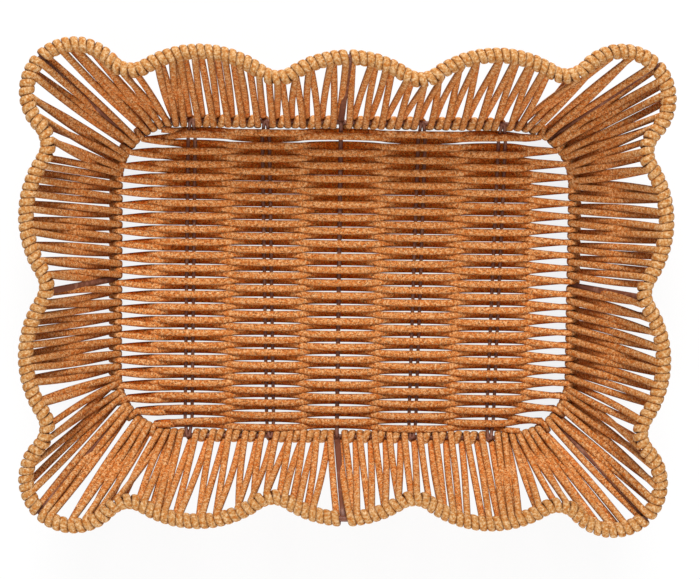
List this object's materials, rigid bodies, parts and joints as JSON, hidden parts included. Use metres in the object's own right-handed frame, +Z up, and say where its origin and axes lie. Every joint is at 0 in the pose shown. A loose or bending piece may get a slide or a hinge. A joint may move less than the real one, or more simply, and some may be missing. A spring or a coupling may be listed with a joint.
{
  "type": "scalloped woven basket",
  "caption": "Shallow open rectangular basket: a wavy rim wire on a rounded base ring, laced round with rattan cord, with a woven rattan base.",
  "frame": {"origin": "middle of the basket's outline, on the plane that it stands on", "axes": "+X along the long side, +Y towards the back, +Z up out of the open top"},
  "size_m": [0.3689, 0.2802, 0.0793],
  "materials": {
    "frame_wire": "satin brown paint over steel wire",
    "lacing_cord": "mottled honey and orange imitation rattan cord with fine brown flecks",
    "weaving_cord": "mottled honey and orange imitation rattan cord with fine brown flecks"
  },
  "bodies": {
    "root": {"rim_wire": "frame_wire", "base_ring": "frame_wire", "stake_left_outer": "frame_wire", "stake_left_inner": "frame_wire", "centre_stake": "frame_wire", "stake_right_inner": "frame_wire", "stake_right_outer": "frame_wire", "base_weave": "weaving_cord", "strut_right": "frame_wire", "strut_back_right": "frame_wire", "strut_back": "frame_wire", "strut_back_left": "frame_wire", "strut_left": "frame_wire", "strut_front_left": "frame_wire", "strut_front": "frame_wire", "strut_front_right": "frame_wire", "lacing_right_back": "lacing_cord", "lacing_corner_back_right": "lacing_cord", "lacing_back_right": "lacing_cord", "lacing_back_middle": "lacing_cord", "lacing_back_left": "lacing_cord", "lacing_corner_back_left": "lacing_cord", "lacing_left_back": "lacing_cord", "lacing_left_front": "lacing_cord", "lacing_corner_front_left": "lacing_cord", "lacing_front_left": "lacing_cord", "lacing_front_middle": "lacing_cord", "lacing_front_right": "lacing_cord", "lacing_corner_front_right": "lacing_cord", "lacing_right_front": "lacing_cord"}
  },
  "joints": []
}
